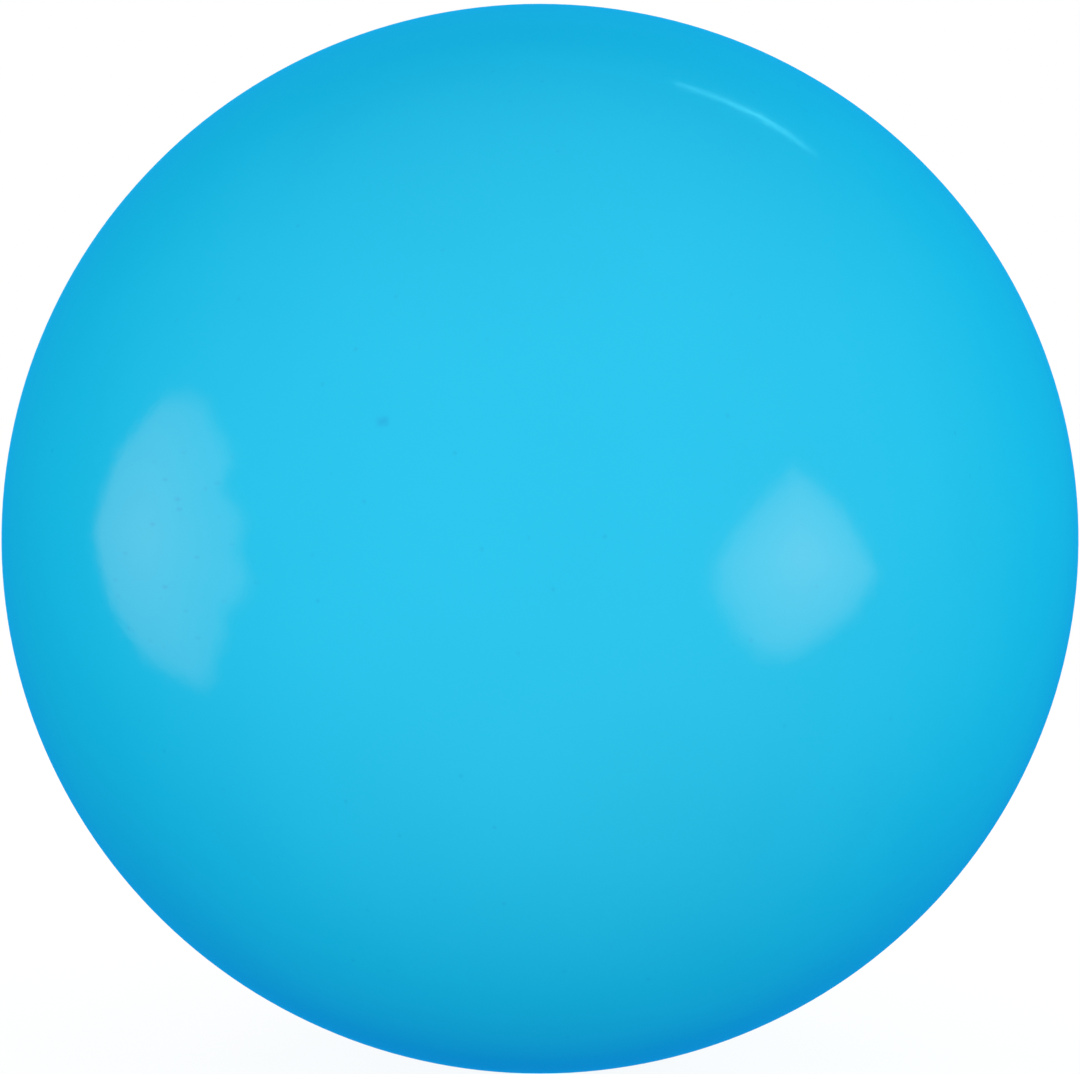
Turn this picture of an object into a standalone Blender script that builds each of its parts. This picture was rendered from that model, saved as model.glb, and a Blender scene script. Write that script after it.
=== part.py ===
"""Giant inflatable ball: a seamless moulded skin, a valve seat captured in it and a ribbed plug.

Metres, +Z up. The origin is on the floor, under the middle of the ball. The valve is at the back, on +Y.
"""

from math import asin, cos, pi, radians, sin, sqrt, tau

import bmesh
import bpy

# Ball
BALL_WIDTH = 1.000
BALL_TALL = 0.9933  # pole to pole, before the floor flattens the underside
SKIN_WALL = 0.0010
FLOOR_PATCH_RADIUS = 0.050  # where the ball's own weight presses it flat

# Clearances
FIT_GAP = 0.0003  # between pieces that seat on each other
FINGER_GAP = 0.0025  # round the plug's head, for a fingernail or a fork

# Plug
SHANK_TIP_RADIUS = 0.0042
SHANK_TAPER = 0.0008  # how much thicker the shank is at the head
SHANK_LENGTH = 0.028
SHANK_TIP_CHAMFER = 0.0010
RIB_COUNT = 3
RIB_HEIGHT = 0.0005
RIB_LEAD = 0.0024  # sloping side, towards the tip
RIB_BACK = 0.0006  # steep side, towards the head
HEAD_OVERHANG = 0.0050
HEAD_THICKNESS = 0.0024
HEAD_EDGE = 0.0008
HEAD_INSET = 0.0003  # below the face of the seat
DISH_DEPTH = 0.0004  # of the hollow for a fingertip in the head's face
DISH_MARGIN = 0.0028  # flat rim round that hollow
DISH_SLOPE = 0.0012  # width of its sloping side
CORE_WALL = 0.0018  # round the plug's hollow, at the tip
CORE_ROOT = 0.0060  # solid shank between the head and the hollow

# Seat
SEAT_PROUD = 0.0008  # face of the collar above the skin
COLLAR_WIDTH = 0.0045
COLLAR_EDGE = 0.0006
SEAT_FLOOR = 0.0028  # material under the plug's head
FLANGE_OVERLAP = 0.0050
FLANGE_THICKNESS = 0.0020
SLEEVE_WALL = 0.0027
SLEEVE_PAST_TIP = 0.0040
SLEEVE_CHAMFER = 0.0010

# Boss of the skin
PAD_RISE = 0.0006  # the boss above the skin around it
PAD_EDGE = 0.0006
PAD_MARGIN = 0.0110  # beyond the seat's flange
BACKING = 0.0032  # behind the flange
BOSS_SHOULDER = 0.0060  # width of the slope round the back of the boss
BOSS_SLOPE = 0.0025  # depth of that slope

# Facets
BALL_SEGMENTS = 64  # a multiple of 4, so that a corner lies on the valve's axis
QUARTER_STEPS = 16  # from the equator to a pole
VALVE_SEGMENTS = 36
CROWN_STEPS = 3
MERGE = 1e-6
SHARP_ANGLE = radians(30)

# Sizes that follow from those above
half_width = BALL_WIDTH / 2
half_tall = BALL_TALL / 2
centre_height = half_tall * sqrt(1 - (FLOOR_PATCH_RADIUS / half_width) ** 2)

shank_root_radius = SHANK_TIP_RADIUS + SHANK_TAPER
head_radius = shank_root_radius + HEAD_OVERHANG
head_top = SEAT_PROUD - HEAD_INSET
head_under = head_top - HEAD_THICKNESS
tip_height = head_under - SHANK_LENGTH

recess_radius = head_radius + FINGER_GAP
recess_floor = head_under - FIT_GAP
collar_radius = recess_radius + COLLAR_WIDTH
flange_radius = collar_radius + FLANGE_OVERLAP
flange_back = recess_floor - SEAT_FLOOR
flange_front = flange_back + FLANGE_THICKNESS
sleeve_end = tip_height - SLEEVE_PAST_TIP

pad_radius = flange_radius + FIT_GAP + PAD_MARGIN
boss_back = flange_back - FIT_GAP - BACKING


def clear_scene():
    for thing in list(bpy.data.objects):
        bpy.data.objects.remove(thing)


def material(name, colour, roughness):
    made = bpy.data.materials.new(name)
    made.use_nodes = True
    shader = made.node_tree.nodes["Principled BSDF"]
    shader.inputs["Base Color"].default_value = (*colour, 1)
    shader.inputs["Roughness"].default_value = roughness
    shader.inputs["Metallic"].default_value = 0
    return made


def turned(name, outline, segments, closed=False):
    """A solid turned about its own Z axis from (radius, height) points.

    An open outline starts and ends on the axis. A closed one makes a ring.
    """
    work = bmesh.new()
    corners = [work.verts.new((radius, 0, height)) for radius, height in outline]
    ends = corners[1:] + corners[:1] if closed else corners[1:]
    edges = [work.edges.new(pair) for pair in zip(corners, ends)]
    bmesh.ops.spin(
        work, geom=corners + edges, cent=(0, 0, 0), axis=(0, 0, 1), angle=tau, steps=segments, use_merge=True
    )
    bmesh.ops.remove_doubles(work, verts=work.verts, dist=MERGE)
    bmesh.ops.recalc_face_normals(work, faces=work.faces)
    mesh = bpy.data.meshes.new(name)
    work.to_mesh(mesh)
    work.free()
    mesh.shade_smooth()
    mesh.set_sharp_from_angle(angle=SHARP_ANGLE)
    thing = bpy.data.objects.new(name, mesh)
    bpy.context.scene.collection.objects.link(thing)
    return thing


def combine(thing, operation, tool):
    """A Boolean of the thing with a tool, which then only shows as a wire guide."""
    step = thing.modifiers.new(tool.name, "BOOLEAN")
    step.operation = operation
    step.solver = "EXACT"
    step.object = tool
    tool.hide_render = True
    tool.display_type = "WIRE"


def ball_outline(inset):
    """Half the ball's section, from the top to the flat underside, this far inside its surface."""
    width = half_width - inset
    tall = half_tall - inset
    lowest = asin((centre_height - inset) / tall)
    above = [pi / 2 * (1 - step / QUARTER_STEPS) for step in range(1, QUARTER_STEPS)]
    below = [-lowest * step / QUARTER_STEPS for step in range(QUARTER_STEPS + 1)]
    side = [(width * cos(angle), tall * sin(angle)) for angle in above + below]
    return [(0, tall), *side, (0, side[-1][1])]


def skin_height(radius):
    """Height of the ball's surface beside the valve, counted along the valve's axis."""
    return sqrt(half_width**2 - radius**2) - half_width


def boss_outline():
    """The round boss: it follows the skin outside and slopes off inside."""
    rim = pad_radius - PAD_EDGE
    crown = [rim * step / CROWN_STEPS for step in range(CROWN_STEPS + 1)]
    front = [(radius, skin_height(radius) + PAD_RISE) for radius in crown]
    edge = (pad_radius, skin_height(pad_radius) + PAD_RISE - PAD_EDGE)
    shoulder = (pad_radius, boss_back + BOSS_SLOPE)
    return [*front, edge, shoulder, (pad_radius - BOSS_SHOULDER, boss_back), (0, boss_back)]


def pocket_outline():
    """The space for the seat: its collar, its flange and its sleeve, each with the gap."""
    mouth = collar_radius + FIT_GAP
    groove = flange_radius + FIT_GAP
    throat = bore_radius(recess_floor) + SLEEVE_WALL + FIT_GAP
    front = flange_front + FIT_GAP
    back = flange_back - FIT_GAP
    return [
        (0, SEAT_PROUD + PAD_RISE),
        (mouth, SEAT_PROUD + PAD_RISE),
        (mouth, front),
        (groove, front),
        (groove, back),
        (throat, back),
        (throat, boss_back - BACKING),
        (0, boss_back - BACKING),
    ]


def shank_radius(height):
    return shank_root_radius - SHANK_TAPER * (head_under - height) / SHANK_LENGTH


def bore_radius(height):
    """The bore runs beside the shank and clears its ribs all the way out."""
    return shank_radius(height) + RIB_HEIGHT + FIT_GAP


def seat_outline():
    sleeve_radius = bore_radius(recess_floor) + SLEEVE_WALL
    return [
        (recess_radius, SEAT_PROUD),
        (collar_radius - COLLAR_EDGE, SEAT_PROUD),
        (collar_radius, SEAT_PROUD - COLLAR_EDGE),
        (collar_radius, flange_front),
        (flange_radius, flange_front),
        (flange_radius, flange_back),
        (sleeve_radius, flange_back),
        (sleeve_radius, sleeve_end + SLEEVE_CHAMFER),
        (sleeve_radius - SLEEVE_CHAMFER, sleeve_end),
        (bore_radius(sleeve_end), sleeve_end),
        (bore_radius(recess_floor), recess_floor),
        (recess_radius, recess_floor),
    ]


def rib_outline(height):
    """One sealing rib of the shank, with its crest at this height."""
    back = height + RIB_BACK
    lead = height - RIB_LEAD
    crest = shank_radius(height) + RIB_HEIGHT
    return [(shank_radius(back), back), (crest, height), (shank_radius(lead), lead)]


def plug_outline():
    """The dished head with its eased edges, the ribbed shank and the hollow that opens at the tip."""
    dish_radius = head_radius - DISH_MARGIN
    dish_floor = head_top - DISH_DEPTH
    spacing = SHANK_LENGTH / (RIB_COUNT + 1)
    core_radius = SHANK_TIP_RADIUS - CORE_WALL
    core_top = head_under - CORE_ROOT
    outline = [
        (0, dish_floor),
        (dish_radius - DISH_SLOPE, dish_floor),
        (dish_radius, head_top),
        (head_radius - HEAD_EDGE, head_top),
        (head_radius, head_top - HEAD_EDGE),
        (head_radius, head_under + HEAD_EDGE),
        (head_radius - HEAD_EDGE, head_under),
        (shank_root_radius, head_under),
    ]
    for number in range(RIB_COUNT):
        outline += rib_outline(head_under - spacing * (number + 1))
    outline += [
        (shank_radius(tip_height + SHANK_TIP_CHAMFER), tip_height + SHANK_TIP_CHAMFER),
        (SHANK_TIP_RADIUS - SHANK_TIP_CHAMFER, tip_height),
        (core_radius, tip_height),
        (core_radius, core_top - core_radius),
        (0, core_top),
    ]
    return outline


def make_valve_axis():
    """The frame of the valve: its origin on the skin, its Z pointing straight out of the ball's back."""
    axis = bpy.data.objects.new("valve_axis", None)
    axis.location = (0, half_width, centre_height)
    axis.rotation_euler = (-pi / 2, 0, 0)
    bpy.context.scene.collection.objects.link(axis)
    return axis


def make_skin(valve_axis, pvc):
    skin = turned("ball_skin", ball_outline(0), BALL_SEGMENTS)
    skin.location.z = centre_height
    skin.data.materials.append(pvc)
    hollow = turned("hollow", ball_outline(SKIN_WALL), BALL_SEGMENTS)
    hollow.location.z = centre_height
    boss = turned("boss", boss_outline(), VALVE_SEGMENTS)
    boss.parent = valve_axis
    pocket = turned("pocket", pocket_outline(), VALVE_SEGMENTS)
    pocket.parent = valve_axis
    combine(skin, "DIFFERENCE", hollow)
    combine(skin, "UNION", boss)
    combine(skin, "DIFFERENCE", pocket)
    return skin


def make_seat(valve_axis, pvc):
    seat = turned("valve_seat", seat_outline(), VALVE_SEGMENTS, closed=True)
    seat.parent = valve_axis
    seat.data.materials.append(pvc)
    return seat


def make_plug(valve_axis, polythene):
    """The stopper, whose origin lies on the line that it is pulled along."""
    plug = turned("valve_plug", plug_outline(), VALVE_SEGMENTS)
    plug.parent = valve_axis
    plug.data.materials.append(polythene)
    return plug


def main():
    clear_scene()
    valve_axis = make_valve_axis()
    make_skin(valve_axis, material("soft_pvc_cyan", (0.027, 0.558, 0.831), 0.2))
    make_seat(valve_axis, material("firm_pvc_blue", (0.015, 0.40, 0.70), 0.35))
    make_plug(valve_axis, material("white_polythene", (0.80, 0.80, 0.78), 0.45))


main()
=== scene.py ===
"""Looks of a giant inflatable ball: its moulded skin, the valve in its back and a plain white studio.

Metres, +Z up. The ball stands on the floor at the origin and its valve is at the back, on +Y.
"""

from math import asin, cos, pi, radians, sin, sqrt, tan

import bmesh
import bpy
import numpy as np
from bpy.props import FloatProperty, FloatVectorProperty, PointerProperty
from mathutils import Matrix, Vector, noise


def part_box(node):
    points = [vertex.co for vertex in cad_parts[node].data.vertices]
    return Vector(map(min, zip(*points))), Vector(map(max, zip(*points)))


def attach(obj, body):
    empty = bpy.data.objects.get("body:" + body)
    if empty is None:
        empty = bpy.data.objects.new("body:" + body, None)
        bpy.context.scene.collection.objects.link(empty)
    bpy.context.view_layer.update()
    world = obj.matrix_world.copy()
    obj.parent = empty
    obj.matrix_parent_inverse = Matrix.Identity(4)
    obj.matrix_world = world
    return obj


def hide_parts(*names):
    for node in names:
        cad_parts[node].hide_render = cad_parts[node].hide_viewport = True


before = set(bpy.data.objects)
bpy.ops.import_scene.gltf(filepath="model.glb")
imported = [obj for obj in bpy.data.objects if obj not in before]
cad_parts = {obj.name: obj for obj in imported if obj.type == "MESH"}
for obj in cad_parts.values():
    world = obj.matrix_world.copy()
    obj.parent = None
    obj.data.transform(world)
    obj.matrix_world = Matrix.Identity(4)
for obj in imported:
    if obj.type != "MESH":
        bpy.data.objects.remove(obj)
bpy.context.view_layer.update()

bl_info = {
    "name": "Giant Inflatable Ball",
    "version": (1, 0, 0),
    "blender": (4, 5, 0),
    "location": "View3D > Sidebar > Ball",
    "description": "Dresses the solids of a giant inflatable ball with its moulded skin, valve and studio",
    "category": "Object",
}

# Sizes that the solids give
skin_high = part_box("ball_skin")[1]
seat_low, seat_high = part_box("valve_seat")
plug_low, plug_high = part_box("valve_plug")
half_width = skin_high.x
middle_height = (seat_low.z + seat_high.z) / 2
half_tall = skin_high.z - middle_height
middle = Vector((0, 0, middle_height))

# Heights along the valve's axis, counted outwards from the skin, and its largest radii
seat_face = seat_high.y - half_width
sleeve_end = seat_low.y - half_width
head_top = plug_high.y - half_width
plug_tip = plug_low.y - half_width
flange_radius = seat_high.x
head_radius = plug_high.x

# Sizes of the valve inside those boxes
FIT_GAP = 0.0003  # between pieces that seat on each other
FINGER_GAP = 0.0025  # round the plug's head, for a fingernail
COLLAR_WIDTH = 0.0045
FLANGE_THICKNESS = 0.0020
HEAD_THICKNESS = 0.0024
HEAD_EASING = 0.0009
DISH_DEPTH = 0.0004
DISH_MARGIN = 0.0028  # flat rim round the dish in the head
DISH_SLOPE = 0.0012
DISH_EASING = 0.0008
SEAT_FLOOR = 0.0028  # under the plug's head
SLEEVE_WALL = 0.0027
SHANK_ROOT_RADIUS = 0.0050
SHANK_TIP_RADIUS = 0.0042
RIB_COUNT = 3
RIB_HEIGHT = 0.0005
RIB_LEAD = 0.0024  # sloping side, towards the tip
RIB_BACK = 0.0006  # steep side, towards the head
CORE_WALL = 0.0018  # round the plug's hollow, at the tip
CORE_ROOT = 0.0060  # solid shank between the head and the hollow
PAD_RISE = 0.0006  # the skin's pad round the valve
PAD_MARGIN = 0.0110  # beyond the seat's flange
PAD_SLOPE = 0.0040  # width of the rise from the skin to the pad
BACKING = 0.0032  # behind the flange
BOSS_SHOULDER = 0.0060  # width of the slope round the back of the boss
BOSS_SLOPE = 0.0025  # depth of that slope

head_under = head_top - HEAD_THICKNESS
shank_length = head_under - plug_tip
recess_radius = head_radius + FINGER_GAP
recess_floor = head_under - FIT_GAP
collar_radius = recess_radius + COLLAR_WIDTH
flange_back = recess_floor - SEAT_FLOOR
flange_front = flange_back + FLANGE_THICKNESS
pad_radius = flange_radius + FIT_GAP + PAD_MARGIN
boss_back = flange_back - FIT_GAP - BACKING

# How the skin departs from a true ball
ROUND_ZONE = 0.040  # round the valve's axis, where it doesn't
ROUND_FADE = 0.080  # from there to where it does so fully
PATCH_EASING = 0.0008  # of the rim of the flat patch under the ball

# Marks on the skin
SPECK_SPACING = 0.036
SPECK_RADIUS = 0.0028
SPECK_STRENGTH = 0.7
SMEAR_PLACE = (-0.1305, -0.4637, 0.6273)
SMEAR_WIDTH = 0.0108
SMEAR_HEIGHT = 0.0098
SMEAR_RAGGEDNESS = 0.9
SMEAR_EDGE = 1.1  # where it starts and where it is full, in shares of its size
SMEAR_CORE = 0.5
SCUFF_PLACE = (-0.310, -0.392, 0.515)
SCUFF_REACH = 0.120
SCUFF_SPACING = 0.028
SCUFF_RADIUS = 0.0050
SCUFF_SQUAT = (1, 1, 2)  # twice as long as high

# Patterns of the finishes
DRIFT_LENGTH = 0.140  # of the skin's pigment
PEEL_SIZE = 0.008
PEEL_DEPTH = 0.00006
GLOSS_SPREAD = 0.02
SATIN_GRAIN = 0.0012  # of the seat
SATIN_DEPTH = 0.00005
SATIN_SHADE = 0.82  # share of the colour where it is darkest
SATIN_ROUGHNESS = (0.28, 0.42)
FLOW_SPACING = 0.002  # of the plug
FLOW_DEPTH = 0.00005
FLOW_SHADE = 0.90
FLOW_ROUGHNESS = (0.34, 0.48)

# Counts of facets, and how edges are eased and joined
SKIN_SEGMENTS = 224
OUTSIDE_RINGS = 140
INSIDE_RINGS = 44
PAD_RINGS = 10
VALVE_SEGMENTS = 96
ROUNDING_STEPS = 4
EASING_LIMIT = 0.45  # of a side's length
SHARP_ANGLE = radians(35)
MERGE = 1e-6

# The photograph's frame, in pixels, and where the ball lies in it
IMAGE_WIDTH = 1080
BALL_HALF_WIDTH_PX = 538.6
BALL_BELOW_CENTRE_PX = 1.61
SENSOR_WIDTH_MM = 36
CLIP_END = 100

# The floor, with the share of its own glow that the camera sees
FLOOR_RADIUS = 12
FLOOR_SEGMENTS = 64
FLOOR_GLOW = (1.06, 1.06, 1.06, 1)  # a little over white, which makes up for the paint's share
FLOOR_GLOW_SHARE = 0.86

# Light for matt surfaces. A lamp hangs so many degrees to the right of the viewer and above the level.
FILL_WAY = (0.778, -0.498, 0.382)  # from the ball to where the fill is brightest
LAMP_DISTANCE = 4.0
LAMP_SIZE = 0.4
LAMP_BEAM = radians(80)
LAMPS = (
    ("front_lamp", (0, 5), 0.295),
    ("left_lamp", (-58, 10), 0.162),
    ("right_lamp", (85, 20), 0.168),
    ("back_lamp", (180, 5), 0.300),
)

# The room that the gloss shows, with the blue wall's colours from its foot to its top
PALE_WALL_WAY = (0.065, -0.969, 0.240)  # from the ball to the middle of the pale wall
PALE_WALL_STARTS = -0.62  # cosine of the angle from that way
PALE_WALL_ENDS = 0.92
BLUE_WALL = (
    (0.0, "#0038E4"), (0.2, "#0062EA"), (0.33, "#0F9BEE"),
    (0.5, "#18B1F2"), (0.75, "#1CA8F0"), (1.0, "#0660E0"),
)

# Lit cloths that the gloss shows. Places are degrees to the right and up, as those of the lamps are.
SOFT_BOX_DISTANCE = 8.0
LEFT_SOFT_BOX = {
    "bulb": (-86, 1),
    "corners": (
        (-90.5, 22.5), (-84, 24.5), (-78, 24.5), (-73, 21.5), (-69, 19.5), (-65, 16), (-66.5, 11),
        (-61.5, 8), (-59.5, 5.5), (-60.5, 0), (-58, -5), (-60.5, -9), (-65, -11.5), (-66, -15.5),
        (-69, -18.5), (-72, -22.5), (-76.5, -24.5), (-91.5, -18), (-99.5, -10), (-104.5, 0), (-100, 11.5),
    ),
    "strength": 1.6,
    "fringe": 0.15,
    "rim_glow": 0.56,
}
RIGHT_SOFT_BOX = {
    "bulb": (53.5, 0),
    "corners": (
        (54, 17), (64, 8.5), (69, 1), (73, -4.5), (67, -12), (59.5, -17), (53, -20.5), (45, -20),
        (38.5, -15), (33, -6.5), (33, -1), (37.5, 5.5), (45, 12),
    ),
    "strength": 2.4,
    "fringe": 0.22,
    "rim_glow": 0.5,
}
# Along the strip: right, up and its share of the strength there
STRIP_LIGHT = (
    (154, 56.1, 0), (152, 54.9, 0.6), (149.1, 53.9, 0.7), (146.7, 52.5, 0.7), (143.9, 51, 0.75),
    (141.3, 49.6, 1), (137.8, 48.1, 0.8), (135.2, 47, 0.5), (132.8, 45.5, 0.25), (131, 44.4, 0),
)
STRIP_SPREAD = 0.8
STRIP_COLOUR = "#81F9FF"
STRIP_STRENGTH = 7.0


def linear(hex_colour):
    """Linear red, green and blue of an sRGB colour written as #rrggbb."""
    shares = [int(hex_colour[place : place + 2], 16) / 255 for place in (1, 3, 5)]
    return tuple(s / 12.92 if s <= 0.04045 else ((s + 0.055) / 1.055) ** 2.4 for s in shares)


class SkinSettings(bpy.types.PropertyGroup):
    colour: FloatVectorProperty(
        name="Colour", description="Pigment of the soft PVC", subtype="COLOR", size=3, min=0, max=1,
        default=linear("#15C1E9"),
    )
    deep_colour: FloatVectorProperty(
        name="Deep colour", description="The same pigment where it has gathered", subtype="COLOR", size=3,
        min=0, max=1, default=linear("#11BDE5"),
    )
    dirt_colour: FloatVectorProperty(
        name="Dirt colour", description="The pigment under dirt from the mould", subtype="COLOR", size=3,
        min=0, max=1, default=linear("#12ACDD"),
    )
    wall: FloatProperty(
        name="Wall", description="Thickness of the skin", unit="LENGTH", default=0.001, min=0.0005, max=0.003
    )
    ripple_height: FloatProperty(
        name="Ripple height", description="How far the skin's surface wanders from a true ball",
        unit="LENGTH", default=0.00010, min=0, max=0.002,
    )
    ripple_length: FloatProperty(
        name="Ripple length", description="Distance between two rises of the surface", unit="LENGTH",
        default=0.070, min=0.01, max=0.5,
    )
    roughness: FloatProperty(
        name="Roughness", description="Roughness of the moulded gloss", subtype="FACTOR", default=0.10,
        min=0, max=1,
    )


class ValveSettings(bpy.types.PropertyGroup):
    seat_colour: FloatVectorProperty(
        name="Seat colour", description="Pigment of the firm PVC", subtype="COLOR", size=3, min=0, max=1,
        default=linear("#1C9BD0"),
    )
    plug_colour: FloatVectorProperty(
        name="Plug colour", description="Colour of the polythene", subtype="COLOR", size=3, min=0, max=1,
        default=linear("#E9E8E4"),
    )
    rounding: FloatProperty(
        name="Edge rounding", description="Radius of the moulded edges", unit="LENGTH", default=0.0005,
        min=0.0001, max=0.0007,
    )


class StageSettings(bpy.types.PropertyGroup):
    camera_distance: FloatProperty(
        name="Camera distance", description="From the middle of the ball", unit="LENGTH", default=4.0,
        min=1.5, max=20,
    )
    camera_elevation: FloatProperty(
        name="Camera elevation", description="Above the level of the ball's middle", subtype="ANGLE",
        default=radians(4.5), min=0, max=radians(80),
    )
    fill_bright: FloatVectorProperty(
        name="Bright fill", description="Even light from the right, the front and above", subtype="COLOR",
        size=3, min=0, max=1, default=linear("#EDEDED"),
    )
    fill_dim: FloatVectorProperty(
        name="Dim fill", description="Even light from the left, the back and below", subtype="COLOR", size=3,
        min=0, max=1, default=linear("#C0C0C0"),
    )
    pale_wall: FloatVectorProperty(
        name="Pale wall", description="What the gloss shows of the room behind the viewer", subtype="COLOR",
        size=3, min=0, max=1, default=linear("#B0DCE8"),
    )
    cloth_colour: FloatVectorProperty(
        name="Soft box colour", description="Light that the soft boxes' cloth lets through", subtype="COLOR",
        size=3, min=0, max=1, default=linear("#FFE6A6"),
    )
    floor_colour: FloatVectorProperty(
        name="Floor colour", description="Paint of the floor", subtype="COLOR", size=3, min=0, max=1,
        default=linear("#F2F1EE"),
    )


class BallSettings(bpy.types.PropertyGroup):
    skin: PointerProperty(type=SkinSettings)
    valve: PointerProperty(type=ValveSettings)
    stage: PointerProperty(type=StageSettings)


def add_node(tree, kind, inputs=None, **settings):
    """Adds a node. An input is named or numbered, and takes a value or another node's output."""
    node = tree.nodes.new(kind)
    for setting, value in settings.items():
        setattr(node, setting, value)
    for place, value in (inputs or {}).items():
        if isinstance(value, bpy.types.NodeSocket):
            tree.links.new(value, node.inputs[place])
        else:
            node.inputs[place].default_value = value
    return node


def new_material(name):
    """An empty node material, its tree and its output."""
    made = bpy.data.materials.new(name)
    made.use_nodes = True
    made.node_tree.nodes.clear()
    return made, made.node_tree, made.node_tree.nodes.new("ShaderNodeOutputMaterial")


def soft_pvc_rotation_moulded(settings):
    """Plasticised PVC cast in a turning mould.

    It gives an even, wet-looking gloss without a seam. The pigment drifts a little, the gloss is broken by
    a faint orange peel, and dirt from the mould shows as faint specks and as one small smear. One flank has
    short, level scuffs. The real peel, specks and scuffs are 1 to 2 mm across, too fine to show, so the peel
    is drawn 8 mm across, a speck 5 mm and a scuff 10 mm.
    """
    made, tree, output = new_material("soft_pvc_rotation_moulded")
    place = add_node(tree, "ShaderNodeTexCoord").outputs["Object"]
    drift = add_node(tree, "ShaderNodeTexNoise", {"Vector": place, "Scale": 1 / DRIFT_LENGTH, "Detail": 3.0})
    pigment = add_node(
        tree, "ShaderNodeMix",
        {0: drift.outputs["Fac"], 6: (*settings.deep_colour, 1), 7: (*settings.colour, 1)}, data_type="RGBA",
    )
    cells = add_node(tree, "ShaderNodeTexVoronoi", {"Vector": place, "Scale": 1 / SPECK_SPACING})
    specks = add_node(
        tree, "ShaderNodeMapRange",
        {
            "Value": cells.outputs["Distance"], "From Min": SPECK_RADIUS / SPECK_SPACING, "From Max": 0.0,
            "To Max": SPECK_STRENGTH,
        },
    )
    grain = add_node(tree, "ShaderNodeTexNoise", {"Vector": place, "Scale": 1 / PEEL_SIZE, "Detail": 2.0})
    from_smear = add_node(tree, "ShaderNodeVectorMath", {0: place, 1: SMEAR_PLACE}, operation="SUBTRACT")
    in_smears = add_node(
        tree, "ShaderNodeVectorMath",
        {0: from_smear.outputs["Vector"], 1: (1 / SMEAR_WIDTH, 1 / SMEAR_WIDTH, 1 / SMEAR_HEIGHT)},
        operation="MULTIPLY",
    )
    reach = add_node(tree, "ShaderNodeVectorMath", {0: in_smears.outputs["Vector"]}, operation="LENGTH")
    ragged = add_node(
        tree, "ShaderNodeMath",
        {0: grain.outputs["Fac"], 1: SMEAR_RAGGEDNESS, 2: reach.outputs["Value"]}, operation="MULTIPLY_ADD",
    )
    smear = add_node(
        tree, "ShaderNodeMapRange",
        {"Value": ragged.outputs["Value"], "From Min": SMEAR_EDGE, "From Max": SMEAR_CORE},
    )
    squat = add_node(tree, "ShaderNodeVectorMath", {0: place, 1: SCUFF_SQUAT}, operation="MULTIPLY")
    strokes = add_node(
        tree, "ShaderNodeTexVoronoi", {"Vector": squat.outputs["Vector"], "Scale": 1 / SCUFF_SPACING}
    )
    scuffs = add_node(
        tree, "ShaderNodeMapRange",
        {"Value": strokes.outputs["Distance"], "From Min": SCUFF_RADIUS / SCUFF_SPACING, "From Max": 0.0},
    )
    from_scuffs = add_node(tree, "ShaderNodeVectorMath", {0: place, 1: SCUFF_PLACE}, operation="DISTANCE")
    flank = add_node(
        tree, "ShaderNodeMapRange",
        {"Value": from_scuffs.outputs["Value"], "From Min": SCUFF_REACH, "From Max": SCUFF_REACH / 3},
    )
    scuffed = add_node(
        tree, "ShaderNodeMath", {0: scuffs.outputs["Result"], 1: flank.outputs["Result"]},
        operation="MULTIPLY",
    )
    marked = add_node(
        tree, "ShaderNodeMath", {0: specks.outputs["Result"], 1: smear.outputs["Result"]},
        operation="MAXIMUM",
    )
    dirt = add_node(
        tree, "ShaderNodeMath", {0: marked.outputs["Value"], 1: scuffed.outputs["Value"]},
        operation="MAXIMUM",
    )
    colour = add_node(
        tree, "ShaderNodeMix",
        {0: dirt.outputs["Value"], 6: pigment.outputs[2], 7: (*settings.dirt_colour, 1)}, data_type="RGBA",
    )
    gloss = add_node(
        tree, "ShaderNodeMapRange",
        {
            "Value": grain.outputs["Fac"], "From Min": 0.3, "From Max": 0.7,
            "To Min": settings.roughness - GLOSS_SPREAD, "To Max": settings.roughness + GLOSS_SPREAD,
        },
    )
    peel = add_node(
        tree, "ShaderNodeBump", {"Height": grain.outputs["Fac"], "Strength": 1.0, "Distance": PEEL_DEPTH}
    )
    shader = add_node(
        tree, "ShaderNodeBsdfPrincipled",
        {
            "Base Color": colour.outputs[2], "Roughness": gloss.outputs["Result"], "IOR": 1.53,
            "Normal": peel.outputs["Normal"],
        },
    )
    tree.links.new(shader.outputs["BSDF"], output.inputs["Surface"])
    return made


def firm_pvc_moulded(settings):
    """Firm PVC, moulded before the skin was cast round it: a deeper blue with a satin face.

    The satin of the mould has a grain of about 0.1 mm, too fine to show, so it is drawn 1.2 mm across.
    """
    made, tree, output = new_material("firm_pvc_moulded")
    place = add_node(tree, "ShaderNodeTexCoord").outputs["Object"]
    grain = add_node(tree, "ShaderNodeTexNoise", {"Vector": place, "Scale": 1 / SATIN_GRAIN, "Detail": 3.0})
    shade = [share * SATIN_SHADE for share in settings.seat_colour]
    pigment = add_node(
        tree, "ShaderNodeMix",
        {0: grain.outputs["Fac"], 6: (*shade, 1), 7: (*settings.seat_colour, 1)}, data_type="RGBA",
    )
    smooth, rough = SATIN_ROUGHNESS
    gloss = add_node(
        tree, "ShaderNodeMapRange", {"Value": grain.outputs["Fac"], "To Min": smooth, "To Max": rough}
    )
    satin = add_node(
        tree, "ShaderNodeBump", {"Height": grain.outputs["Fac"], "Strength": 0.5, "Distance": SATIN_DEPTH}
    )
    shader = add_node(
        tree, "ShaderNodeBsdfPrincipled",
        {
            "Base Color": pigment.outputs[2], "Roughness": gloss.outputs["Result"], "IOR": 1.54,
            "Normal": satin.outputs["Normal"],
        },
    )
    tree.links.new(shader.outputs["BSDF"], output.inputs["Surface"])
    return made


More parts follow.
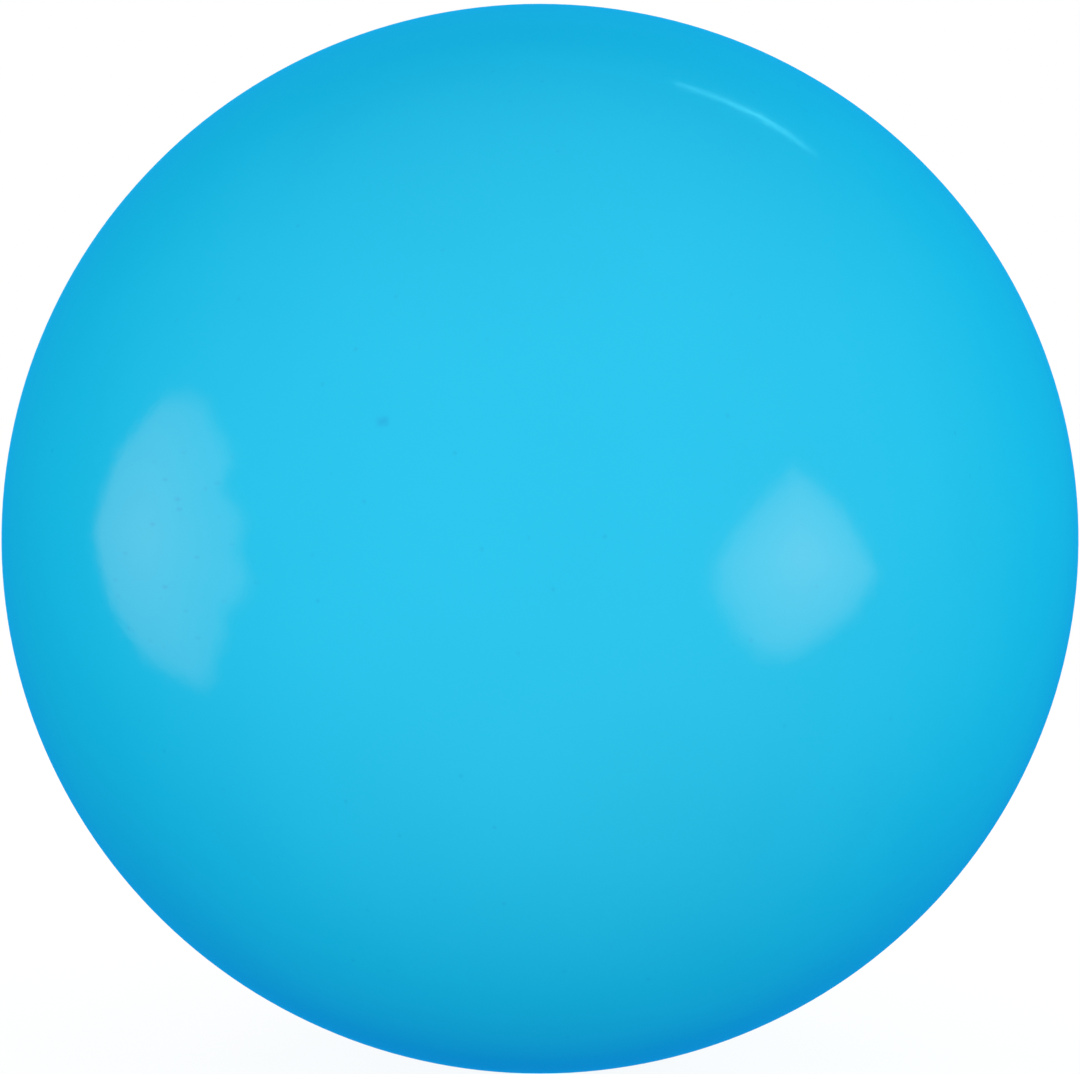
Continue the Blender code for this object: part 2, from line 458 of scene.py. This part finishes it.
def polythene_moulded(settings):
    """Low-density polythene, injection moulded: milky white and waxy, with faint cloudy flow marks.

    The marks are about 0.5 mm apart, too fine to show, so they are drawn 2 mm apart.
    """
    made, tree, output = new_material("polythene_moulded")
    place = add_node(tree, "ShaderNodeTexCoord").outputs["Object"]
    flow = add_node(
        tree, "ShaderNodeTexNoise",
        {"Vector": place, "Scale": 1 / FLOW_SPACING, "Detail": 3.0, "Distortion": 1.0},
    )
    shade = [share * FLOW_SHADE for share in settings.plug_colour]
    milk = add_node(
        tree, "ShaderNodeMix",
        {0: flow.outputs["Fac"], 6: (*shade, 1), 7: (*settings.plug_colour, 1)}, data_type="RGBA",
    )
    smooth, rough = FLOW_ROUGHNESS
    wax = add_node(
        tree, "ShaderNodeMapRange", {"Value": flow.outputs["Fac"], "To Min": smooth, "To Max": rough}
    )
    dimple = add_node(
        tree, "ShaderNodeBump", {"Height": flow.outputs["Fac"], "Strength": 0.4, "Distance": FLOW_DEPTH}
    )
    shader = add_node(
        tree, "ShaderNodeBsdfPrincipled",
        {
            "Base Color": milk.outputs[2], "Roughness": wax.outputs["Result"], "IOR": 1.51,
            "Normal": dimple.outputs["Normal"],
        },
    )
    tree.links.new(shader.outputs["BSDF"], output.inputs["Surface"])
    return made


def rounded(corners, closed=False):
    """An outline whose corners are eased. A corner is (radius, height, reach of the easing)."""
    count = len(corners)
    outline = []
    for number, (radius, height, reach) in enumerate(corners):
        here = Vector((radius, height))
        if reach == 0 or (not closed and number in (0, count - 1)):
            outline.append(tuple(here))
            continue
        back = Vector(corners[number - 1][:2]) - here
        on = Vector(corners[(number + 1) % count][:2]) - here
        start = here + back.normalized() * min(reach, back.length * EASING_LIMIT)
        end = here + on.normalized() * min(reach, on.length * EASING_LIMIT)
        for step in range(ROUNDING_STEPS + 1):
            share = step / ROUNDING_STEPS
            outline.append(tuple(start.lerp(here, share).lerp(here.lerp(end, share), share)))
    return outline


def turned(name, outline, segments, closed=False):
    """A piece turned about the valve's axis from (radius, height) points, where height counts outwards."""
    work = bmesh.new()
    corners = [work.verts.new((radius, half_width + height, middle_height)) for radius, height in outline]
    ends = corners[1:] + corners[:1] if closed else corners[1:]
    edges = [work.edges.new(pair) for pair in zip(corners, ends)]
    bmesh.ops.spin(
        work, geom=corners + edges, cent=middle, axis=(0, 1, 0), angle=2 * pi, steps=segments, use_merge=True
    )
    bmesh.ops.remove_doubles(work, verts=work.verts, dist=MERGE)
    bmesh.ops.recalc_face_normals(work, faces=work.faces)
    mesh = bpy.data.meshes.new(name)
    work.to_mesh(mesh)
    work.free()
    mesh.shade_smooth()
    piece = bpy.data.objects.new(name, mesh)
    bpy.context.scene.collection.objects.link(piece)
    return piece


def skin_height(radius):
    """Height of the ball's surface beside the valve."""
    return sqrt(half_width**2 - radius**2) - half_width


def eased_step(share):
    """0 below 0, 1 above 1 and a smooth rise between."""
    share = np.clip(share, 0, 1)
    return share * share * (3 - 2 * share)


def pad_height(radius):
    """Height of the outer surface near the valve, where the pad rises from the skin."""
    risen = float(eased_step((pad_radius + PAD_SLOPE / 2 - radius) / PAD_SLOPE))
    return skin_height(radius) + PAD_RISE * risen


def skin_outline(wall, rounding):
    """From the front of the ball round its outside to the valve, through the pocket and back inside."""
    pad_end = pad_radius + PAD_SLOPE
    last = asin(pad_end / half_width)
    turns = [pi + (last - pi) * ring / OUTSIDE_RINGS for ring in range(OUTSIDE_RINGS)]
    outside = [(half_width * sin(turn), half_width * (cos(turn) - 1)) for turn in turns]
    outside[0] = (0, -2 * half_width)
    mouth = collar_radius + FIT_GAP
    lip = mouth + rounding
    pad = [pad_end + (lip - pad_end) * ring / PAD_RINGS for ring in range(PAD_RINGS)]
    groove = flange_radius + FIT_GAP
    throat = SHANK_ROOT_RADIUS + RIB_HEIGHT + FIT_GAP + SLEEVE_WALL + FIT_GAP
    pocket = rounded(
        [
            (lip, pad_height(lip), 0),
            (mouth, pad_height(mouth), rounding),
            (mouth, flange_front + FIT_GAP, rounding),
            (groove, flange_front + FIT_GAP, rounding),
            (groove, flange_back - FIT_GAP, rounding),
            (throat, flange_back - FIT_GAP, rounding),
            (throat, boss_back, rounding),
            (pad_radius - BOSS_SHOULDER, boss_back, 2 * rounding),
            (pad_radius, boss_back + BOSS_SLOPE, 2 * rounding),
            (pad_radius, skin_height(pad_radius) - wall, 0),
        ]
    )
    inner = half_width - wall
    first = asin((pad_radius + PAD_SLOPE / 2) / inner)
    turns = [first + (pi - first) * ring / INSIDE_RINGS for ring in range(INSIDE_RINGS + 1)]
    inside = [(inner * sin(turn), inner * cos(turn) - half_width) for turn in turns]
    inside[-1] = (0, -inner - half_width)
    return outside + [(radius, pad_height(radius)) for radius in pad] + pocket + inside


def settle(skin, settings):
    """Gives the turned skin its lower height, its faint ripples and the flat patch that it rests on."""
    count = len(skin.data.vertices)
    places = np.empty(count * 3)
    skin.data.vertices.foreach_get("co", places)
    places = places.reshape(count, 3) - np.array(middle)
    from_axis = np.hypot(places[:, 0], places[:, 2])
    away = eased_step((from_axis - ROUND_ZONE) / ROUND_FADE)
    places[:, 2] *= 1 + (half_tall / half_width - 1) * np.where(places[:, 1] > 0, away, 1)
    from_middle = np.linalg.norm(places, axis=1)
    outer = from_middle > half_tall - settings.wall / 2
    ripple = np.array([noise.noise(Vector(place) / settings.ripple_length) for place in places])
    ripple *= settings.ripple_height * np.where(places[:, 1] > 0, away, 1)
    places *= (1 + ripple / from_middle)[:, None]
    lowest = -middle_height + np.where(outer, 0, settings.wall)
    near = np.maximum(PATCH_EASING - np.abs(lowest - places[:, 2]), 0)
    places[:, 2] = np.maximum(places[:, 2], lowest) + near**2 / (4 * PATCH_EASING)
    skin.data.vertices.foreach_set("co", (places + np.array(middle)).ravel())
    skin.data.update()


def seat_outline(rounding):
    """Collar, the flange that the skin holds, and the sleeve with its tapered bore."""
    bore_root = SHANK_ROOT_RADIUS + RIB_HEIGHT + FIT_GAP
    taper = (SHANK_ROOT_RADIUS - SHANK_TIP_RADIUS) * (recess_floor - sleeve_end) / shank_length
    bore_end = bore_root - taper
    sleeve_radius = bore_root + SLEEVE_WALL
    return rounded(
        [
            (recess_radius, seat_face, rounding),
            (collar_radius, seat_face, rounding),
            (collar_radius, flange_front, rounding / 2),
            (flange_radius, flange_front, rounding),
            (flange_radius, flange_back, rounding),
            (sleeve_radius, flange_back, rounding),
            (sleeve_radius, sleeve_end, 2 * rounding),
            (bore_end, sleeve_end, rounding),
            (bore_root, recess_floor, rounding),
            (recess_radius, recess_floor, rounding),
        ],
        closed=True,
    )


def plug_outline(rounding):
    """Head with a shallow dish for the fingertip, ribbed shank and the hollow that opens at the tip."""
    dish_radius = head_radius - DISH_MARGIN
    dish_floor = head_top - DISH_DEPTH
    spacing = shank_length / (RIB_COUNT + 1)
    taper = (SHANK_ROOT_RADIUS - SHANK_TIP_RADIUS) / shank_length
    core_radius = SHANK_TIP_RADIUS - CORE_WALL
    core_top = head_under - CORE_ROOT
    corners = [
        (0, dish_floor, 0),
        (dish_radius - DISH_SLOPE, dish_floor, DISH_EASING),
        (dish_radius, head_top, DISH_EASING),
        (head_radius, head_top, HEAD_EASING),
        (head_radius, head_under, HEAD_EASING),
        (SHANK_ROOT_RADIUS, head_under, rounding),
    ]
    for number in range(RIB_COUNT):
        crest = head_under - spacing * (number + 1)
        for height, rise in ((crest + RIB_BACK, 0), (crest, RIB_HEIGHT), (crest - RIB_LEAD, 0)):
            corners.append((SHANK_ROOT_RADIUS - taper * (head_under - height) + rise, height, rounding / 2))
    corners += [
        (SHANK_TIP_RADIUS, plug_tip, 2 * rounding),
        (core_radius, plug_tip, rounding),
        (core_radius, core_top - core_radius, rounding),
        (0, core_top, 0),
    ]
    return rounded(corners)


def dress(piece, material, body, node):
    """Gives a finished piece its material and its place in the frame."""
    piece.data.materials.append(material)
    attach(piece, body)
    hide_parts(node)


class BALL_OT_mould_skin(bpy.types.Operator):
    """Makes the seamless skin with the pad round its valve"""

    bl_idname = "ball.mould_skin"
    bl_label = "Mould the skin"

    def execute(self, context):
        settings = context.scene.giant_ball.skin
        outline = skin_outline(settings.wall, context.scene.giant_ball.valve.rounding / 2)
        skin = turned("skin", outline, SKIN_SEGMENTS)
        settle(skin, settings)
        dress(skin, soft_pvc_rotation_moulded(settings), "ball", "ball_skin")
        return {"FINISHED"}


class BALL_OT_set_seat(bpy.types.Operator):
    """Makes the valve's seat, which the skin holds by its flange"""

    bl_idname = "ball.set_seat"
    bl_label = "Set the valve seat"

    def execute(self, context):
        settings = context.scene.giant_ball.valve
        seat = turned("seat", seat_outline(settings.rounding), VALVE_SEGMENTS, closed=True)
        seat.data.set_sharp_from_angle(angle=SHARP_ANGLE)
        dress(seat, firm_pvc_moulded(settings), "ball", "valve_seat")
        return {"FINISHED"}


class BALL_OT_press_plug(bpy.types.Operator):
    """Makes the ribbed plug in the seat"""

    bl_idname = "ball.press_plug"
    bl_label = "Press the plug in"

    def execute(self, context):
        settings = context.scene.giant_ball.valve
        plug = turned("plug", plug_outline(settings.rounding), VALVE_SEGMENTS)
        plug.data.set_sharp_from_angle(angle=SHARP_ANGLE)
        dress(plug, polythene_moulded(settings), "plug", "valve_plug")
        return {"FINISHED"}


def studio_way(right, up):
    """Direction from the ball, turned right and up from straight at the viewer, in degrees."""
    turn, lift = radians(right), radians(up)
    return Vector((sin(turn) * cos(lift), -cos(turn) * cos(lift), sin(lift)))


def lay_floor(settings):
    """A wide pale floor. It shows near white to the camera, keeps the ball's shadow and lights nothing."""
    mesh = bpy.data.meshes.new("floor")
    work = bmesh.new()
    bmesh.ops.create_circle(work, cap_ends=True, segments=FLOOR_SEGMENTS, radius=FLOOR_RADIUS)
    work.to_mesh(mesh)
    work.free()
    floor = bpy.data.objects.new("floor", mesh)
    bpy.context.scene.collection.objects.link(floor)
    floor.visible_diffuse = False
    floor.visible_glossy = False
    made, tree, output = new_material("matt_floor_paint")
    light_path = add_node(tree, "ShaderNodeLightPath")
    paint = add_node(tree, "ShaderNodeBsdfDiffuse", {"Color": (*settings.floor_colour, 1)})
    glow = add_node(
        tree, "ShaderNodeEmission", {"Color": FLOOR_GLOW, "Strength": light_path.outputs["Is Camera Ray"]}
    )
    pale = add_node(
        tree, "ShaderNodeMixShader",
        {0: FLOOR_GLOW_SHARE, 1: paint.outputs["BSDF"], 2: glow.outputs["Emission"]},
    )
    tree.links.new(pale.outputs["Shader"], output.inputs["Surface"])
    mesh.materials.append(made)


def light_world(settings):
    """White for the camera, an even fill for matt surfaces and a room for gloss.

    No piece is metal or glass, and the rim of the real ball stays blue where a white room would turn it
    white. So the gloss shows a pale wall behind the viewer and a blue one behind the ball.
    """
    world = bpy.data.worlds.new("studio")
    bpy.context.scene.world = world
    world.use_nodes = True
    tree = world.node_tree
    tree.nodes.clear()
    way = add_node(tree, "ShaderNodeTexCoord").outputs["Generated"]
    slant = add_node(tree, "ShaderNodeVectorMath", {0: way, 1: FILL_WAY}, operation="DOT_PRODUCT")
    rise = add_node(
        tree, "ShaderNodeMapRange", {"Value": slant.outputs["Value"], "From Min": -1.0, "From Max": 1.0}
    )
    fill = add_node(
        tree, "ShaderNodeMix",
        {0: rise.outputs["Result"], 6: (*settings.fill_dim, 1), 7: (*settings.fill_bright, 1)},
        data_type="RGBA",
    )
    matt = add_node(tree, "ShaderNodeBackground", {"Color": fill.outputs[2]})
    height = add_node(tree, "ShaderNodeSeparateXYZ", {"Vector": way})
    storey = add_node(
        tree, "ShaderNodeMapRange", {"Value": height.outputs["Z"], "From Min": -1.0, "From Max": 1.0}
    )
    blue_wall = add_node(tree, "ShaderNodeValToRGB", {"Fac": storey.outputs["Result"]})
    stops = blue_wall.color_ramp.elements
    while len(stops) < len(BLUE_WALL):
        stops.new(0.5)
    for stop, (place, colour) in zip(stops, BLUE_WALL):
        stop.position = place
        stop.color = (*linear(colour), 1)
    to_viewer = add_node(tree, "ShaderNodeVectorMath", {0: way, 1: PALE_WALL_WAY}, operation="DOT_PRODUCT")
    nearness = add_node(
        tree, "ShaderNodeMapRange",
        {"Value": to_viewer.outputs["Value"], "From Min": PALE_WALL_STARTS, "From Max": PALE_WALL_ENDS},
        interpolation_type="SMOOTHSTEP",
    )
    room = add_node(
        tree, "ShaderNodeMix",
        {0: nearness.outputs["Result"], 6: blue_wall.outputs["Color"], 7: (*settings.pale_wall, 1)},
        data_type="RGBA",
    )
    gloss = add_node(tree, "ShaderNodeBackground", {"Color": room.outputs[2]})
    white = add_node(tree, "ShaderNodeBackground", {"Color": (1, 1, 1, 1), "Strength": 1.0})
    light_path = add_node(tree, "ShaderNodeLightPath")
    seen = add_node(
        tree, "ShaderNodeMath",
        {0: light_path.outputs["Is Camera Ray"], 1: light_path.outputs["Is Transmission Ray"]},
        operation="MAXIMUM",
    )
    lit = add_node(
        tree, "ShaderNodeMixShader",
        {
            0: light_path.outputs["Is Glossy Ray"], 1: matt.outputs["Background"],
            2: gloss.outputs["Background"],
        },
    )
    shown = add_node(
        tree, "ShaderNodeMixShader",
        {0: seen.outputs["Value"], 1: lit.outputs["Shader"], 2: white.outputs["Background"]},
    )
    add_node(tree, "ShaderNodeOutputWorld", {"Surface": shown.outputs["Shader"]})


def hang_cloth(name, work, colour, strength):
    """A lit cloth that only the gloss shows. Each of its corners has a share of the strength."""
    mesh = bpy.data.meshes.new(name)
    work.to_mesh(mesh)
    work.free()
    cloth = bpy.data.objects.new(name, mesh)
    bpy.context.scene.collection.objects.link(cloth)
    for ray in ("camera", "diffuse", "transmission", "volume_scatter", "shadow"):
        setattr(cloth, f"visible_{ray}", False)
    made, tree, output = new_material(f"{name}_cloth")
    level = add_node(tree, "ShaderNodeAttribute", attribute_name="glow")
    power = add_node(tree, "ShaderNodeMath", {0: level.outputs["Fac"], 1: strength}, operation="MULTIPLY")
    light = add_node(tree, "ShaderNodeEmission", {"Color": (*colour, 1), "Strength": power.outputs["Value"]})
    clear = add_node(tree, "ShaderNodeBsdfTransparent")
    shown = add_node(tree, "ShaderNodeAddShader", {0: light.outputs["Emission"], 1: clear.outputs["BSDF"]})
    tree.links.new(shown.outputs["Shader"], output.inputs["Surface"])
    mesh.materials.append(made)


def lit_corner(work, right, up, level):
    """A corner of a cloth at (right, up) degrees as seen from the ball, with its share of the strength."""
    glow = work.verts.layers.float.get("glow") or work.verts.layers.float.new("glow")
    corner = work.verts.new(middle + studio_way(right, up) * SOFT_BOX_DISTANCE)
    corner[glow] = level
    return corner


def hang_soft_box(name, colour, bulb, corners, strength, fringe, rim_glow):
    """A cloth with its bulb behind it. It dims to the rim's glow, and over the fringe to nothing."""
    work = bmesh.new()
    hot = lit_corner(work, *bulb, 1)
    rings = [
        [
            lit_corner(work, bulb[0] + (right - bulb[0]) * share, bulb[1] + (up - bulb[1]) * share, level)
            for right, up in corners
        ]
        for share, level in ((1 - fringe, rim_glow), (1, 0))
    ]
    for number in range(len(corners)):
        (a, b), (d, c) = ((ring[number - 1], ring[number]) for ring in rings)
        work.faces.new((hot, a, b))
        work.faces.new((a, d, c, b))
    hang_cloth(name, work, colour, strength)


def hang_strip_light(name, colour, points, spread, strength):
    """A narrow lit strip, brightest along its middle."""
    work = bmesh.new()
    rows = [
        [lit_corner(work, right, up + side * spread, level * (1 - abs(side))) for side in (-1, 0, 1)]
        for right, up, level in points
    ]
    for before, after in zip(rows, rows[1:]):
        for side in (0, 1):
            work.faces.new((before[side], before[side + 1], after[side + 1], after[side]))
    hang_cloth(name, work, colour, strength)


def hang_lamp(name, way, strength):
    """A white lamp with a soft-edged beam. It lights matt surfaces and leaves no highlight.

    Its strength is the brightness that it gives a white surface on the nearest point of the ball.
    """
    data = bpy.data.lights.new(name, "SPOT")
    data.energy = strength * (2 * pi * (LAMP_DISTANCE - half_width)) ** 2
    data.shadow_soft_size = LAMP_SIZE
    data.spot_size = LAMP_BEAM
    data.spot_blend = 1.0
    data.cycles.use_multiple_importance_sampling = False
    lamp = bpy.data.objects.new(name, data)
    lamp.location = middle + studio_way(*way) * LAMP_DISTANCE
    lamp.rotation_euler = (lamp.location - middle).to_track_quat("Z", "Y").to_euler()
    lamp.visible_glossy = False
    bpy.context.scene.collection.objects.link(lamp)


def set_camera(settings):
    """A level camera whose frame the ball fills from side to side."""
    focal_px = BALL_HALF_WIDTH_PX / tan(asin(half_width / settings.camera_distance))
    data = bpy.data.cameras.new("camera")
    data.sensor_fit = "HORIZONTAL"
    data.sensor_width = SENSOR_WIDTH_MM
    data.lens = SENSOR_WIDTH_MM * focal_px / IMAGE_WIDTH
    data.clip_end = CLIP_END
    camera = bpy.data.objects.new("camera", data)
    back = Vector((0, -cos(settings.camera_elevation), sin(settings.camera_elevation)))
    above = Vector((0, sin(settings.camera_elevation), cos(settings.camera_elevation)))
    camera.location = middle + back * settings.camera_distance
    aim = middle + above * settings.camera_distance * BALL_BELOW_CENTRE_PX / focal_px
    camera.rotation_euler = (camera.location - aim).to_track_quat("Z", "Y").to_euler()
    bpy.context.scene.collection.objects.link(camera)
    bpy.context.scene.camera = camera


class BALL_OT_set_stage(bpy.types.Operator):
    """Makes the floor, the light and the camera"""

    bl_idname = "ball.set_stage"
    bl_label = "Set the stage"

    def execute(self, context):
        settings = context.scene.giant_ball.stage
        context.scene.view_settings.view_transform = "Standard"
        lay_floor(settings)
        light_world(settings)
        for lamp in LAMPS:
            hang_lamp(*lamp)
        hang_soft_box("left_soft_box", settings.cloth_colour, **LEFT_SOFT_BOX)
        hang_soft_box("right_soft_box", settings.cloth_colour, **RIGHT_SOFT_BOX)
        hang_strip_light("strip_light", linear(STRIP_COLOUR), STRIP_LIGHT, STRIP_SPREAD, STRIP_STRENGTH)
        set_camera(settings)
        return {"FINISHED"}


class BALL_PT_panel(bpy.types.Panel):
    """Lists the steps that dress the ball"""

    bl_idname = "BALL_PT_panel"
    bl_label = "Giant inflatable ball"
    bl_space_type = "VIEW_3D"
    bl_region_type = "UI"
    bl_category = "Ball"

    def draw(self, context):
        for group, operators in (
            (context.scene.giant_ball.skin, [BALL_OT_mould_skin]),
            (context.scene.giant_ball.valve, [BALL_OT_set_seat, BALL_OT_press_plug]),
            (context.scene.giant_ball.stage, [BALL_OT_set_stage]),
        ):
            box = self.layout.box()
            for setting in group.__annotations__:
                box.prop(group, setting)
            for operator in operators:
                box.operator(operator.bl_idname)


CLASSES = (
    SkinSettings,
    ValveSettings,
    StageSettings,
    BallSettings,
    BALL_OT_mould_skin,
    BALL_OT_set_seat,
    BALL_OT_press_plug,
    BALL_OT_set_stage,
    BALL_PT_panel,
)


def register():
    for made in CLASSES:
        bpy.utils.register_class(made)
    bpy.types.Scene.giant_ball = PointerProperty(type=BallSettings)


def unregister():
    del bpy.types.Scene.giant_ball
    for made in reversed(CLASSES):
        bpy.utils.unregister_class(made)


def main():
    register()
    bpy.ops.ball.mould_skin()
    bpy.ops.ball.set_seat()
    bpy.ops.ball.press_plug()
    bpy.ops.ball.set_stage()


if __name__ == "__main__":
    main()
